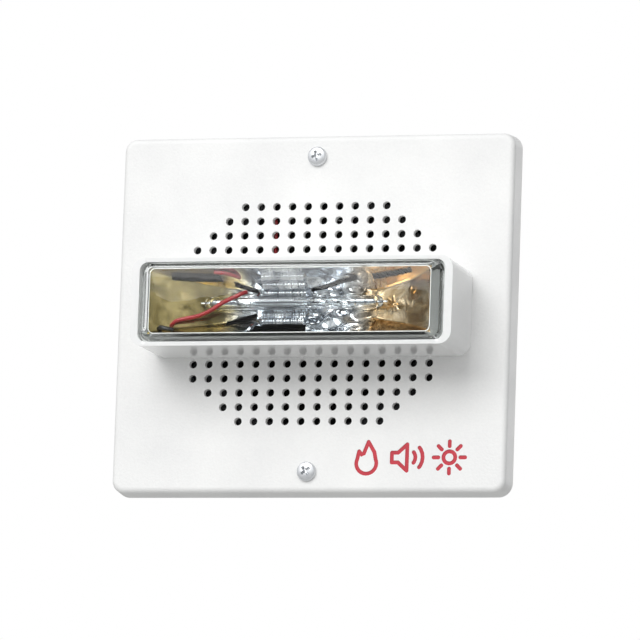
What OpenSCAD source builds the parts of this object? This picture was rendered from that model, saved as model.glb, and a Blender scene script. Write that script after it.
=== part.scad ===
// Wall horn strobe: a perforated cover with a strobe across it, a moving-coil sounder
// behind the grille, a circuit board behind the sounder, and a steel mounting plate.
// X runs to the right, Y runs into the wall, Z runs up. Y = 0 is the wall.

/* [Cover] */
// Width of the cover where it meets the wall
cover_w = 143; // [138:0.5:150]
// Height of the cover where it meets the wall
cover_h = 127; // [123:0.5:134]
// Depth of the cover from the wall to its front face
cover_depth = 9; // [9:0.5:12]
// Thickness of the cover's front wall
cover_wall = 2.5; // [2:0.1:3]
// Radius of the rounded front edge
edge_r = 2; // [1:0.1:2.4]
// How far each side leans in from the wall to the rounded edge
side_lean = 0.6; // [0.2:0.1:1]

/* [Grille] */
// Hole spacing from left to right
pitch_x = 5.68; // [5.4:0.02:5.7]
// Hole spacing from top to bottom
pitch_z = 5.05; // [4.9:0.01:5.1]
// Diameter of a grille hole
grille_hole_d = 2.8; // [2:0.1:3.2]

/* [Strobe] */
// Width of the strobe housing
strobe_w = 114.7; // [110:0.1:118]
// Height of the strobe housing
strobe_h = 30.8; // [30:0.1:31.6]
// How far the housing's rim stands off the cover's front face
strobe_rise = 28; // [27:0.5:30]
// How far the lens stands proud of the rim
lens_proud = 4; // [3:0.1:5]
// Width of the lens at its front
lens_w = 104; // [103:0.1:104.6]
// Height of the lens at its front
lens_h = 25.4; // [25:0.1:25.6]
// Thickness of the lens's front wall
lens_wall = 1.8; // [1.5:0.1:2]

/* [Fixings] */
// Height of each cover screw above and below the middle
cover_screw_z = 55.5; // [55:0.1:56]
// Spacing of the four holes that fit a 4 inch square electrical box
box_hole_spacing = 88.9; // [88.4:0.1:89.4]
// Radius of the four box screw holes
box_hole_r = 2.3; // [2.1:0.1:2.4]

/* [Sounder] */
// Outer radius of the driver's front flange
driver_r = 49; // [48.6:0.1:49]
// Left and right places of the driver's fixing ears
ear_x = 36; // [36:0.1:36.2]
// Upper and lower places of the driver's fixing ears
ear_z = 35.5; // [35.4:0.1:35.6]

/* [Hidden] */
$fn = 48;
slip = 0.1;      // gap between pieces that slip together
through = 1;     // how far a cut runs past the face that it opens

cover_inner_y = -cover_depth + cover_wall;
corner_r = 5;
shell_inset = side_lean + edge_r;
grille_rows = 7.5;
grille_corner = 12;
boss_r = 3.2;

housing_wall_x = 2.75;
housing_wall_z = 1.45;
housing_corner_r = 4.5;
rim_y = -cover_depth - strobe_rise;
lens_front_y = rim_y - lens_proud;
lens_seat_y = rim_y + 5.5;
lens_flange = 1.5;
lens_side_wall = 1.2;
lens_flare_x = 1.7;     // how much each end of the lens spreads from its front to the rim
lens_flare_z = 1.05;    // the same for its top and bottom
lens_body_w = lens_w + 2 * lens_flare_x;
lens_body_h = lens_h + 2 * lens_flare_z;
floor_y = -cover_depth - 2;
strobe_screw_x = 49;
window_w = 60;
window_h = 16;

tube_y = -32;
tube_r = 2.25;
tube_half = 32;
reflector_w = 100.6;
reflector_h = 22.8;
reflector_mouth_y = lens_front_y + lens_wall + 0.5;
reflector_back_y = -21;
lamp_board_y = -14;
lamp_board_t = 1.6;

screw_r = 1.73;
head_r = 3.4;
head_t = 2.1;
screw_pad_t = 0.9;      // raised pad round each cover screw's hole, inside the cover
tab_y = -4.6;
plate_t = 1.6;
plate_w = 132;
plate_h = 116;
ground_screw_at = [56, 0, -20];

gasket_t = 3;
flange_y = cover_inner_y + gasket_t;
flange_t = 1.2;
basket_back_y = 16.2;
pole_r = 6.3;
gap_r = 7.45;
former_r = 6.9;
magnet_r = 22.5;
magnet_t = 7.6;
top_plate_t = 3;
basket_mouth_r = 38.5;
pole_back_y = basket_back_y + top_plate_t + magnet_t;

board_y = 32;
board_t = 1.6;
board_back = board_y + board_t;
board_w = 84;
board_h = 78;

terminal_pitch = 9.5;
terminal_count = 4;
terminal_z = -27;

transformer_at = [-21, 0, 16];
level_switch_at = [-31.5, 0, -19];

wire_r = 0.8;

// Leads that run from the board, over the driver's edge and down behind the grille to the strobe
red_lead_route = [
    [-17, 37, 35], [-17.2, 37.4, 40], [-17.4, 35.5, 43.4], [-17.4, 30, 43.6], [-17.4, 12, 43.6],
    [-17.4, 1, 43.6], [-17.4, -3, 43.4], [-17.4, -5.2, 41.4], [-17.3, -5.5, 38.4], [-15.9, -5.5, 35],
    [-15.2, -5.5, 31.6], [-15.2, -5.5, 26], [-15, -5.5, 14], [-14.7, -5.2, 8], [-14.5, -5.3, 5.2],
    [-14.3, -7, 3.9], [-14.2, -10, 4], [-14.2, -13.9, 4]
];
black_lead_route = [
    [-20, 37, 35], [-20, 37.4, 40], [-20, 35.5, 43.4], [-20, 30, 43.6], [-20, 12, 43.6],
    [-20, 1, 43.6], [-20, -3, 43.4], [-20.2, -5.2, 41.4], [-21, -5.5, 37], [-22, -5.5, 31],
    [-22.5, -5.5, 24], [-22.5, -5.5, 12], [-22.4, -5.2, 8], [-22.3, -5.3, 5.2], [-22.1, -7, 3.9],
    [-22, -10, 4], [-22, -13.9, 4]
];
// Leads between the board and the driver's tag strip
sounder_red_route = [
    [14, 31.9, 30], [14, 29.5, 30], [13.6, 26.5, 30.5], [12.2, 21, 31.4], [10.8, 16, 31.3], [10.1, 13, 31],
    [10, 11.2, 31], [10, 9.43, 31]
];
sounder_black_route = [
    [19, 31.9, 30], [19, 29.5, 30], [18.6, 26.5, 30.5], [17.4, 21, 31.2], [15.8, 16, 31.2], [15.1, 13, 31],
    [15, 11.2, 31], [15, 9.43, 31]
];
// Insulated trigger lead that crosses the left end of the reflector to the tube, and its short black twin
trigger_lead_route = [
    [-43.5, -25.5, -8.1], [-43.5, -31.4, -8.1], [-43, -34.4, -7.9], [-41, -35.6, -6.6], [-37.5, -35.6, -5.8],
    [-33.5, -35.6, -5], [-29, -35.6, -3.2], [-24.6, -35.6, -0.4], [-20.4, -35.6, 1.5], [-17.8, -35.2, 2.8],
    [-16.6, -33.6, 3.6]
];
ground_lead_route = [
    [-46.8, -27.5, -8.9], [-46.8, -33, -8.9], [-46.8, -35.6, -8.9], [-46.1, -37.2, -9], [-44, -37.5, -9.5],
    [-41.6, -36.6, -10]
];

// ---- shapes that repeat ----

// Stands a flat shape, drawn in X and Z, between two depths
module slab(y_front, y_back) {
    translate([0, y_back, 0]) rotate([90, 0, 0]) linear_extrude(y_back - y_front) children();
}

// Turns a flat shape, drawn as radius and depth, round the Y axis
module turned() {
    rotate([-90, 0, 0]) rotate_extrude() children();
}

module rounded(w, h, r, facets = $fn) {
    square([w - 2 * r, h], center = true);
    square([w, h - 2 * r], center = true);
    for (x = [-1, 1], z = [-1, 1]) translate([x * (w / 2 - r), z * (h / 2 - r)]) circle(r, $fn = facets);
}

module both_x(x) {
    for (s = [-1, 1]) translate([s * x, 0, 0]) children();
}

module both_z(z) {
    for (s = [-1, 1]) translate([0, 0, s * z]) children();
}

module at_ears() {
    for (x = [-1, 1], z = [-1, 1]) translate([x * ear_x, 0, z * ear_z]) children();
}

module at_ears_flat() {
    for (x = [-1, 1], z = [-1, 1]) translate([x * ear_x, z * ear_z]) children();
}

module terminal_at(k) {
    translate([(k - (terminal_count + 1) / 2) * terminal_pitch, 0, terminal_z]) children();
}

// A block given by its two opposite corners
module block(low, high) {
    translate(low) cube(high - low);
}

// A hole in a board, round the end of a lead
module lead_hole(end) {
    translate([end[0], end[2]]) circle(wire_r + 0.1);
}

// A recess for a cross-point driver, cut from the face at the origin towards +Y
module cross_recess(width, depth) {
    for (a = [0, 90]) rotate([0, a, 0]) block([-width / 2, -through, -0.45], [width / 2, depth, 0.45]);
}

// ---- leads ----

function unit(v) = v / norm(v);
function curve_point(a, b, c, d, t) =
    0.5 * (2 * b + (c - a) * t + (2 * a - 5 * b + 4 * c - d) * t * t + (3 * b - a - 3 * c + d) * t * t * t);
function smooth_route(p, steps) = [
    for (i = [0 : len(p) - 2], s = [0 : steps - 1])
        curve_point(p[max(i - 1, 0)], p[i], p[i + 1], p[min(i + 2, len(p) - 1)], s / steps),
    p[len(p) - 1]
];
function heading(p, i) = unit(p[min(i + 1, len(p) - 1)] - p[max(i - 1, 0)]);
function lead_ring(p, i, r, sideways, n) = let (
    t = heading(p, i),
    u = unit(cross(t, sideways)),
    v = cross(u, t)
) [for (k = [0 : n - 1]) p[i] + r * (cos(360 * k / n) * u + sin(360 * k / n) * v)];

// A round lead along a route. Its heading never comes close to the sideways direction.
module lead(route, r, sideways = [1, 0, 0], steps = 2, n = 8) {
    p = smooth_route(route, steps);
    m = len(p);
    points = [for (i = [0 : m - 1]) each lead_ring(p, i, r, sideways, n)];
    sides = [
        for (i = [0 : m - 2], k = [0 : n - 1]) each [
            [i * n + k, (i + 1) * n + k, i * n + (k + 1) % n],
            [(i + 1) * n + k, (i + 1) * n + (k + 1) % n, i * n + (k + 1) % n]
        ]
    ];
    ends = [[for (k = [0 : n - 1]) k], [for (k = [n - 1 : -1 : 0]) (m - 1) * n + k]];
    polyhedron(points, concat(sides, ends), convexity = 6);
}

// ---- cover ----

// Half section of the cover's edge, drawn as distance from the corner's axis and depth
module edge_section() {
    polygon([
        [0, 0], [corner_r, 0], [corner_r - side_lean, -cover_depth + edge_r],
        [corner_r - shell_inset, -cover_depth + edge_r], [corner_r - shell_inset, -cover_depth],
        [0, -cover_depth]
    ]);
    translate([corner_r - shell_inset, -cover_depth + edge_r]) circle(edge_r);
}

module cover_outside() {
    straight_x = cover_w - 2 * corner_r;
    straight_z = cover_h - 2 * corner_r;
    block([-straight_x / 2, -cover_depth, -straight_z / 2], [straight_x / 2, 0, straight_z / 2]);
    for (a = [0, 180]) rotate([0, a, 0]) {
        translate([straight_x / 2, 0, -straight_z / 2]) linear_extrude(straight_z) edge_section();
        translate([-straight_x / 2, 0, straight_z / 2]) rotate([0, -90, 180])
            mirror([0, 1, 0]) linear_extrude(straight_x) edge_section();
    }
    for (x = [-1, 1], z = [-1, 1]) translate([x * straight_x / 2, 0, z * straight_z / 2])
        turned() intersection() {
            edge_section();
            translate([0, -2 * cover_depth]) square([2 * corner_r, 3 * cover_depth]);
        }
}

function in_grille(i, j) = abs(i) + abs(j) <= grille_corner && abs(j) * pitch_z > strobe_h / 2 + 1;

module grille_holes() {
    for (i = [-grille_rows : grille_rows], j = [-grille_rows : grille_rows])
        if (in_grille(i, j)) translate([i * pitch_x, j * pitch_z]) circle(d = grille_hole_d, $fn = 20);
}

module front_cover() {
    color("white") difference() {
        union() {
            difference() {
                cover_outside();
                slab(cover_inner_y, through)
                    rounded(cover_w - 2 * shell_inset, cover_h - 2 * shell_inset, corner_r - shell_inset);
            }
            at_ears() slab(cover_inner_y, flange_y) circle(boss_r);
            both_z(cover_screw_z) slab(cover_inner_y, cover_inner_y + screw_pad_t) circle(4);
        }
        slab(-cover_depth - through, 0) grille_holes();
        slab(-cover_depth - through, 0) square([window_w, window_h], center = true);
        at_ears() slab(-cover_depth + 1, 0) circle(1.35);
        both_z(cover_screw_z) slab(-cover_depth - through, 0) circle(2);
        both_x(strobe_screw_x) slab(-cover_depth - through, 0) circle(1.7);
        symbols(-cover_depth - through, -cover_depth + symbol_depth);
    }
}

// ---- symbols: a flame, a sounder with two sound arcs, and a flash ----

symbol_depth = 0.5;
symbol_line = 1.4;
symbol_z = -50.7;
symbol_hair = 0.02;     // width of a centre line before it is thickened
symbol_sunk = 0.25;     // how far the paint lies below the cover's face
flame_x = 21.3;
sounder_x = 34;
flash_x = 50.9;

// Thickens a hairline to the symbols' line, with round ends
module thick() {
    offset(r = (symbol_line - symbol_hair) / 2, $fn = 24) children();
}

// The outline of a shape, drawn with the symbols' line
module outline() {
    difference() {
        offset(r = symbol_line / 2, $fn = 24) children();
        offset(delta = -symbol_line / 2) children();
    }
}

// Part of a ring, on both sides of the X direction
module arc_line(r, half_angle) {
    reach = 3 * r;
    thick() intersection() {
        difference() {
            circle(r + symbol_hair / 2);
            circle(r - symbol_hair / 2);
        }
        polygon([
            [0, 0], reach * [cos(half_angle), -sin(half_angle)],
            [reach, 0], reach * [cos(half_angle), sin(half_angle)]
        ]);
    }
}

module flame_symbol() {
    bowl_r = 3.6;
    outline() translate([0, -2]) {
        circle(bowl_r);
        polygon([[-bowl_r, 0], [-2.7, 4.2], [-1.3, 2.6], [0.6, 7.5], [2.8, 3.9], [bowl_r, 0]]);
    }
}

module sounder_symbol() {
    outline() polygon([[-3.6, -1.7], [-3.6, 1.7], [-1.4, 1.7], [1.8, 4.6], [1.8, -4.6], [-1.4, -1.7]]);
    translate([1.8, 0]) for (r = [3, 5.6]) arc_line(r, 38);
}

module flash_symbol() {
    outline() circle(2.1);
    for (a = [0 : 45 : 315]) rotate(a) translate([3.9, -symbol_hair / 2]) thick() square([1.7, symbol_hair]);
}

module symbols(y_front, y_back) {
    translate([0, 0, symbol_z]) {
        translate([flame_x, 0, 0]) slab(y_front, y_back) flame_symbol();
        translate([sounder_x, 0, 0]) slab(y_front, y_back) sounder_symbol();
        translate([flash_x, 0, 0]) slab(y_front, y_back) flash_symbol();
    }
}

module cover_symbols() {
    color("crimson") symbols(-cover_depth + symbol_sunk, -cover_depth + symbol_depth);
}

// ---- cover screws and mounting plate ----

module cover_screw(z, turn) {
    dome_r = head_r + 0.4;
    dome_y = -cover_depth + 1.65;
    tip_y = -0.8;
    color("gainsboro") translate([0, 0, z]) difference() {
        union() {
            slab(-cover_depth, tip_y) circle(screw_r);
            turned() intersection() {
                translate([0, dome_y]) circle(dome_r, $fn = 64);
                translate([0, -cover_depth - head_t]) square([head_r, head_t]);
            }
        }
        translate([0, -cover_depth - head_t, 0]) rotate([0, turn, 0]) cross_recess(3.9, 1.3);
    }
}

module cover_screw_top() {
    cover_screw(cover_screw_z, 15);
}

module cover_screw_bottom() {
    cover_screw(-cover_screw_z, 38);
}

// Soft washers that keep the cover screws from falling out of the cover
module screw_retainers() {
    color("ivory") both_z(cover_screw_z) slab(cover_inner_y + screw_pad_t, tab_y - slip) difference() {
        circle(3.6);
        circle(screw_r + 0.05);
    }
}

// Pressed plate with two folded tabs, which the cover screws run into
module mounting_plate() {
    tab_half = 9;
    tab_end_z = 60;
    fold_z = 49.4;
    notch_z = 56;
    color("lightsteelblue") difference() {
        union() {
            slab(-plate_t, 0) difference() {
                rounded(plate_w, plate_h, 4);
                for (s = [-1, 1]) translate([0, s * notch_z]) square([2 * tab_half, 10], center = true);
            }
            for (a = [0, 180]) rotate([0, a, 0]) {
                block([-tab_half, tab_y, fold_z], [tab_half, 0, fold_z + plate_t]);
                block([-tab_half, tab_y, fold_z], [tab_half, tab_y + plate_t, tab_end_z]);
            }
            both_z(cover_screw_z) slab(tab_y, -0.6) circle(3.2);
        }
        both_z(cover_screw_z) slab(tab_y - through, through) circle(screw_r + 0.03);
        slab(-plate_t - through, through) rounded(84, 82, 5);
        block([-24, -plate_t - through, 40], [-12, through, 46]);
        for (x = [-1, 1], z = [-1, 1]) translate([x * box_hole_spacing / 2, 0, z * box_hole_spacing / 2])
            slab(-plate_t - through, through) circle(box_hole_r);
        translate(ground_screw_at) slab(-plate_t - through, through) circle(1.75);
    }
}

module ground_screw() {
    head = 2;
    color("seagreen") translate(ground_screw_at) difference() {
        union() {
            slab(-plate_t - head, -plate_t) circle(3.6, $fn = 6);
            slab(-plate_t, 5) circle(1.7);
        }
        block([-4, -plate_t - head - through, -0.4], [4, -plate_t - 1.1, 0.4]);
    }
}

// ---- strobe ----

// Deep tray with a seat for the lens, posts for the lamp board and a neck through the cover
module strobe_housing() {
    ledge_x = 1.6;
    ledge_z = 1.7;
    post_x = 40;
    post_z = 7.5;
    pilot_r = 1.25;
    inner_w = strobe_w - 2 * housing_wall_x;
    inner_h = strobe_h - 2 * housing_wall_z;
    color("whitesmoke") {
        difference() {
            union() {
                slab(rim_y, -cover_depth) rounded(strobe_w, strobe_h, housing_corner_r);
                slab(-cover_depth, cover_inner_y) rounded(window_w - 2 * slip, window_h - 2 * slip, 2);
            }
            slab(rim_y - through, lens_seat_y) rounded(inner_w, inner_h, 3);
            slab(rim_y, floor_y) rounded(inner_w - 2 * ledge_x, inner_h - 2 * ledge_z, 2.5);
            slab(floor_y - through, 0) rounded(window_w - 6, window_h - 5, 2);
            both_x(strobe_screw_x) slab(floor_y - through, 0) circle(pilot_r);
        }
        both_x(post_x) both_z(post_z) slab(lamp_board_y, floor_y) circle(2);
        both_x(strobe_screw_x) slab(floor_y - 5, floor_y) difference() {
            circle(3);
            circle(pilot_r);
        }
    }
}

module strobe_screws() {
    color("silver") both_x(strobe_screw_x) difference() {
        union() {
            slab(floor_y - 4.5, cover_inner_y) circle(1.22);
            slab(cover_inner_y, cover_inner_y + 1.6) circle(2.5);
        }
        translate([0, cover_inner_y + 1.6, 0]) rotate([0, 0, 180]) cross_recess(2.8, 1);
    }
}

// The lens's outline spreads from its front to the rim, then runs straight down to its flange
module lens_body(inset, y_front, y_back) {
    thin = 0.01;
    rim_w = lens_body_w - 2 * inset;
    rim_h = lens_body_h - 2 * inset;
    rim_r = 3.5 - inset / 2;
    hull() {
        slab(y_front, y_front + thin) rounded(lens_w - 2 * inset, lens_h - 2 * inset, 3 - inset / 2, 32);
        slab(rim_y - thin, rim_y) rounded(rim_w, rim_h, rim_r, 32);
    }
    slab(rim_y, y_back) rounded(rim_w, rim_h, rim_r);
}

module strobe_lens() {
    flange_front = lens_seat_y - lens_flange;
    color("lightcyan", 0.4) difference() {
        union() {
            lens_body(0, lens_front_y, flange_front);
            slab(flange_front, lens_seat_y) rounded(lens_body_w + 1.4, lens_body_h + 0.2, 3);
        }
        lens_body(lens_side_wall, lens_front_y + lens_wall, lens_seat_y + through);
    }
}

module lens_seal() {
    flange_front = lens_seat_y - lens_flange;
    color("gainsboro") slab(flange_front - 1.2, flange_front) difference() {
        rounded(strobe_w - 2 * housing_wall_x - 2 * slip, lens_body_h + 0.3, 3);
        rounded(lens_body_w + 0.04, lens_body_h + 0.04, 3.5);
    }
}

// A body with one long trough for the tube, a dish towards each end and one in the middle
module reflector() {
    trough_r = 10.8;
    trough_half = 29;
    trough_y = -36;
    end_dish_r = 16.6;
    end_dish_x = 33;
    end_dish_y = -46;
    middle_dish_r = 16;
    middle_dish_y = -42.5;
    half_cut = 30;
    mouth_half_z = 9.6;
    lip = 1.6;
    color("silver") difference() {
        union() {
            slab(reflector_mouth_y, reflector_back_y) rounded(reflector_w, reflector_h, 1.8);
            both_x(30) slab(reflector_back_y, lamp_board_y - lamp_board_t) circle(2.5);
        }
        translate([-trough_half, trough_y, 0]) rotate([0, 90, 0])
            cylinder(r = trough_r, h = 2 * trough_half, $fn = 72);
        both_x(end_dish_x) translate([0, end_dish_y, -half_cut])
            cylinder(r = end_dish_r, h = 2 * half_cut, $fn = 72);
        translate([0, middle_dish_y, -half_cut]) cylinder(r = middle_dish_r, h = 2 * half_cut, $fn = 72);
        block([-60, reflector_mouth_y - through, -mouth_half_z], [60, reflector_mouth_y + lip, mouth_half_z]);
        translate([-tube_half - 3, tube_y, 0]) rotate([0, 90, 0])
            cylinder(r = tube_r + 0.35, h = 2 * tube_half + 6);
        both_x(tube_half - 3) slab(tube_y, 0) circle(1.3);
        for (start = [trigger_lead_route[0], ground_lead_route[0]])
            translate([start[0], 0, start[2]]) slab(-60, 0) circle(1.1);
    }
}

module flash_tube() {
    bore_r = 1.5;
    wire_bore_r = 0.45;
    end_wall = 2;
    color("azure", 0.5) translate([0, tube_y, 0]) rotate([0, 90, 0]) difference() {
        union() {
            cylinder(r = tube_r, h = 2 * (tube_half - tube_r), center = true);
            for (s = [-1, 1]) translate([0, 0, s * (tube_half - tube_r)]) sphere(tube_r);
        }
        cylinder(r = bore_r, h = 2 * (tube_half - end_wall), center = true);
        cylinder(r = wire_bore_r, h = 2 * tube_half + 2, center = true);
    }
}

module tube_electrodes() {
    color("gray") for (s = [-1, 1]) translate([0, tube_y, 0]) rotate([0, s * 90, 0]) {
        translate([0, 0, tube_half - 12]) cylinder(r = 1.3, h = 9.5);
        translate([0, 0, tube_half - 3]) cylinder(r = 0.4, h = 4.6);
    }
}

// Soft sockets that hold the tube's ends clear of the reflector
module tube_sockets() {
    color("floralwhite") both_x(tube_half - 3) difference() {
        slab(tube_y + tube_r + 0.02, lamp_board_y - lamp_board_t) circle(1.2);
        slab(-60, 0) square([0.8, 3], center = true);
    }
}

// Bare wire wound round the tube, which starts the discharge
module trigger_band() {
    color("lightgray") for (x = [-16.2 : 5.4 : 16.2]) translate([x, tube_y, 0]) rotate([0, 90, 0])
        difference() {
            cylinder(r = tube_r + 0.32, h = 0.5, center = true);
            cylinder(r = tube_r + 0.01, h = 2, center = true);
        }
}

module trigger_lead() {
    color("red") lead(trigger_lead_route, 0.75, [0.4, 0, 1]);
}

module ground_lead() {
    color("black") lead(ground_lead_route, 0.75, [0.4, 0, 1]);
}

module lamp_board() {
    color("darkgreen") slab(lamp_board_y - lamp_board_t, lamp_board_y) difference() {
        rounded(92, 19, 1);
        for (route = [red_lead_route, black_lead_route]) lead_hole(route[len(route) - 1]);
    }
}

module trigger_coil() {
    color("goldenrod") translate([14, 0, 0])
        slab(reflector_back_y + 0.3, lamp_board_y - lamp_board_t) circle(4);
}

module lamp_board_parts() {
    front = lamp_board_y - lamp_board_t;
    color("dimgray") {
        block([-9, front - 3.5, -6], [-1, front, 4]);
        block([38, front - 4.4, -5], [44, front, 5]);
        block([-44, front - 4.4, -5], [-38, front, 5]);
    }
}

// ---- sounder ----

module driver_gasket() {
    color("dimgray") slab(cover_inner_y, flange_y) difference() {
        circle(driver_r - 2.8, $fn = 96);
        circle(40.5, $fn = 96);
        translate([-24, 30]) square([12, 20]);
    }
}

module driver_basket() {
    color("darkgray") difference() {
        union() {
            slab(flange_y, flange_y + flange_t) difference() {
                union() {
                    circle(driver_r, $fn = 96);
                    for (x = [-1, 1], z = [-1, 1]) rotate(atan2(z * ear_z, x * ear_x))
                        translate([0, -5]) square([norm([ear_x, ear_z]), 10]);
                    at_ears_flat() circle(5);
                }
                circle(basket_mouth_r, $fn = 96);
                at_ears_flat() circle(1.6);
                translate([-23, 42.2]) square([8, 10]);
            }
            turned() polygon([
                [basket_mouth_r, flange_y + flange_t], [39.7, flange_y + flange_t], [37.6, 2], [27.2, 15],
                [27.2, basket_back_y], [8.4, basket_back_y], [8.4, 15], [26.2, 15], [36.6, 1.6]
            ]);
        }
        for (a = [0, 90, 180, 270]) rotate([0, a, 0]) block([29.2, 3.2, -11], [60, 12.6, 11]);
        for (a = [45, 135, 225, 315]) rotate([0, a, 0]) block([14, 14, -3.5], [22, basket_back_y + 1, 3.5]);
        tag_strip();
    }
}

module driver_top_plate() {
    color("silver") turned() translate([gap_r, basket_back_y]) square([magnet_r - gap_r, top_plate_t]);
}

module driver_magnet() {
    bore_r = 11.5;
    color("#303236") turned()
        translate([bore_r, basket_back_y + top_plate_t]) square([magnet_r - bore_r, magnet_t]);
}

module driver_pole_plate() {
    color("silver") {
        turned() translate([0, pole_back_y]) square([magnet_r - 0.6, top_plate_t]);
        slab(basket_back_y + 0.2, pole_back_y) circle(pole_r);
    }
}

module driver_cone() {
    color("#26231f") turned() polygon([
        [former_r, 5.2], [33.2, -1.9], [33.6, -2.6], [34.6, -2.6], [34.6, -2.1], [33.9, -1.4], [8, 5.9],
        [former_r, 5.9]
    ]);
}

module driver_dust_cap() {
    color("#1b1a1a") turned() difference() {
        intersection() {
            translate([0, 10.5]) circle(12, $fn = 96);
            translate([0, -6]) square([11, 10.28]);
        }
        translate([0, 11]) circle(12, $fn = 96);
    }
}

module voice_coil() {
    color("peru") turned() {
        translate([former_r - 0.3, 3.6]) square([0.3, 14]);
        translate([former_r - 0.3, 15.2]) square([0.6, 4]);
    }
}

module driver_surround() {
    color("#1f1f21") turned() polygon([
        [34.7, -2.7], [36, -3.3], [37.4, -2.7], [38.45, -2.7], [38.45, -2.35], [37.2, -2.35], [36, -2.9],
        [34.8, -2.3], [34.7, -2.3]
    ]);
}

module driver_spider() {
    ripple = 0.5;
    wall = 0.35;
    step = 1.6;
    inner_r = former_r + 0.05;
    front = [for (k = [0 : 14]) [inner_r + k * step, 10 + (k % 2) * ripple]];
    back = [for (k = [14 : -1 : 0]) [inner_r + k * step, 10 + wall + (k % 2) * ripple]];
    color("#c9a35b") turned() polygon(concat(front, back));
}

// Strip of two solder tags, let into a slot in the basket's side
module tag_strip() {
    block([8, 7.4, 28.4], [17.4, 9.4, 32]);
}

module driver_tags() {
    color("tan") tag_strip();
}

// ---- circuit board ----

module circuit_board() {
    color("darkgreen") slab(board_y, board_back) difference() {
        rounded(board_w, board_h, 3);
        at_ears_flat() circle(1.6);
        lead_hole(sounder_red_route[0]);
        lead_hole(sounder_black_route[0]);
    }
}

module board_standoffs() {
    color("goldenrod") at_ears() {
        difference() {
            slab(flange_y + flange_t, board_y) circle(3, $fn = 6);
            slab(board_y - 7, board_y + through) circle(1.3);
        }
        slab(-cover_depth + 1.6, flange_y + flange_t) circle(1.3);
    }
}

module board_screws() {
    color("silver") at_ears() difference() {
        union() {
            slab(board_y - 5, board_back) circle(1.27);
            slab(board_back, board_back + 1.9) circle(2.8);
        }
        translate([0, board_back + 1.9, 0]) rotate([0, 0, 180]) cross_recess(3.2, 1.1);
    }
}

module terminal_block() {
    half = terminal_count * terminal_pitch / 2 + 0.5;
    y_top = board_back + 13;
    step = 3;
    color("#2f6f4f") difference() {
        union() {
            block([-half, board_back, terminal_z - 6], [half, y_top - step, terminal_z + 6]);
            block([-half, y_top - step, terminal_z - 3.6], [half, y_top, terminal_z + 6]);
        }
        for (k = [1 : terminal_count]) terminal_at(k) {
            block([-2.8, board_back + 1.4, -5], [2.8, board_back + 8.8, 3]);
            block([-1.8, board_back + 1.8, -6 - through], [1.8, board_back + 5.4, -4]);
            slab(board_back + 8, y_top) circle(1.5);
            slab(board_back + 10, y_top + through) circle(2.4);
        }
    }
}

module terminal_bars() {
    color("#c8b26a") for (k = [1 : terminal_count]) terminal_at(k) {
        block([-1.4, board_back + 5.3, -4.6], [1.4, board_back + 5.9, 2.9]);
    }
}

module terminal_screw(k) {
    color("silver") terminal_at(k) difference() {
        union() {
            slab(board_back + 5.95, board_back + 10.1) circle(1.4);
            slab(board_back + 10.1, board_back + 11.9) circle(2.15);
        }
        rotate([0, 25 * k, 0]) block([-3, board_back + 11, -0.35], [3, board_back + 13, 0.35]);
    }
}

// A cage that a wire lies in. Its screw draws it back, which nips the wire against the bar.
module terminal_clamp(k) {
    y = board_back + 1.6;
    color("#b9bcc0") terminal_at(k) difference() {
        block([-2.5, y, -4.6], [2.5, y + 5.9, 2.6]);
        block([-1.7, y + 0.8, -5], [1.7, y + 4.4, 3]);
        slab(y + 4, y + 7) circle(1.44);
    }
}

module transformer_core() {
    color("#6d7076") translate(transformer_at) block([-14, board_back, -4.5], [14, board_back + 14, 4.5]);
}

module transformer_coil() {
    color("#d8b13a") translate(transformer_at) difference() {
        slab(board_back + 1.6, board_back + 12.4) rounded(21, 19, 2);
        block([-20, board_back, -4.55], [20, board_back + 20, 4.55]);
    }
}

module flash_capacitor() {
    color("#20242c") translate([29, board_back + 6.6, -10]) {
        cylinder(r = 6.5, h = 32);
        translate([0, 0, 32]) cylinder(r = 5.6, h = 0.8);
    }
}

module power_choke() {
    color("#7a4b2a") translate([8, 0, 16]) {
        slab(board_back, board_back + 1.2) circle(6.6);
        slab(board_back + 1.2, board_back + 8.6) circle(5.4);
        slab(board_back + 8.6, board_back + 9.8) circle(6.6);
    }
}

module board_parts() {
    color("#2a2b2e") {
        block([-6, board_back, -6.5], [6, board_back + 2.4, -1.5]);
        block([-33, board_back, -9], [-27.5, board_back + 4.6, -6]);
        block([-24, board_back, -9], [-16, board_back + 8.5, -4.5]);
        for (x = [10 : 4 : 18]) block([x, board_back, -3], [x + 2.4, board_back + 2.4, 3]);
    }
    color("#b5482c") for (z = [0, 6]) block([-4, board_back, z + 24], [2.5, board_back + 5.5, z + 26.6]);
    color("#3d6fb0") for (z = [-14, -17.4]) block([-14, board_back, z], [-5, board_back + 2, z + 1.8]);
}

module candela_switch() {
    color("#24262a") translate([6.5, 0, -13.5]) difference() {
        block([-8, board_back, -3.2], [8, board_back + 5.4, 3.2]);
        block([-5.6, board_back + 2.4, -1.6], [5.6, board_back + 6, 1.6]);
    }
}

module candela_slider() {
    color("white") translate([3.5, 0, -13.5]) {
        block([-2.4, board_back + 2.5, -1.5], [2.4, board_back + 5.2, 1.5]);
        block([-1.2, board_back + 5.2, -1.4], [1.2, board_back + 8, 1.4]);
    }
}

module level_switch() {
    color("#24262a") translate(level_switch_at) difference() {
        slab(board_back, board_back + 5.4) rounded(10, 10, 1);
        slab(board_back + 2.2, board_back + 6) circle(4);
    }
}

module level_knob() {
    color("orange") translate(level_switch_at) difference() {
        slab(board_back + 2.25, board_back + 6.6) circle(3.9);
        block([-3, board_back + 5.4, -0.5], [3, board_back + 8, 0.5]);
        block([1.9, board_back + 6, -1.2], [3, board_back + 8, 1.2]);
    }
}

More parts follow.
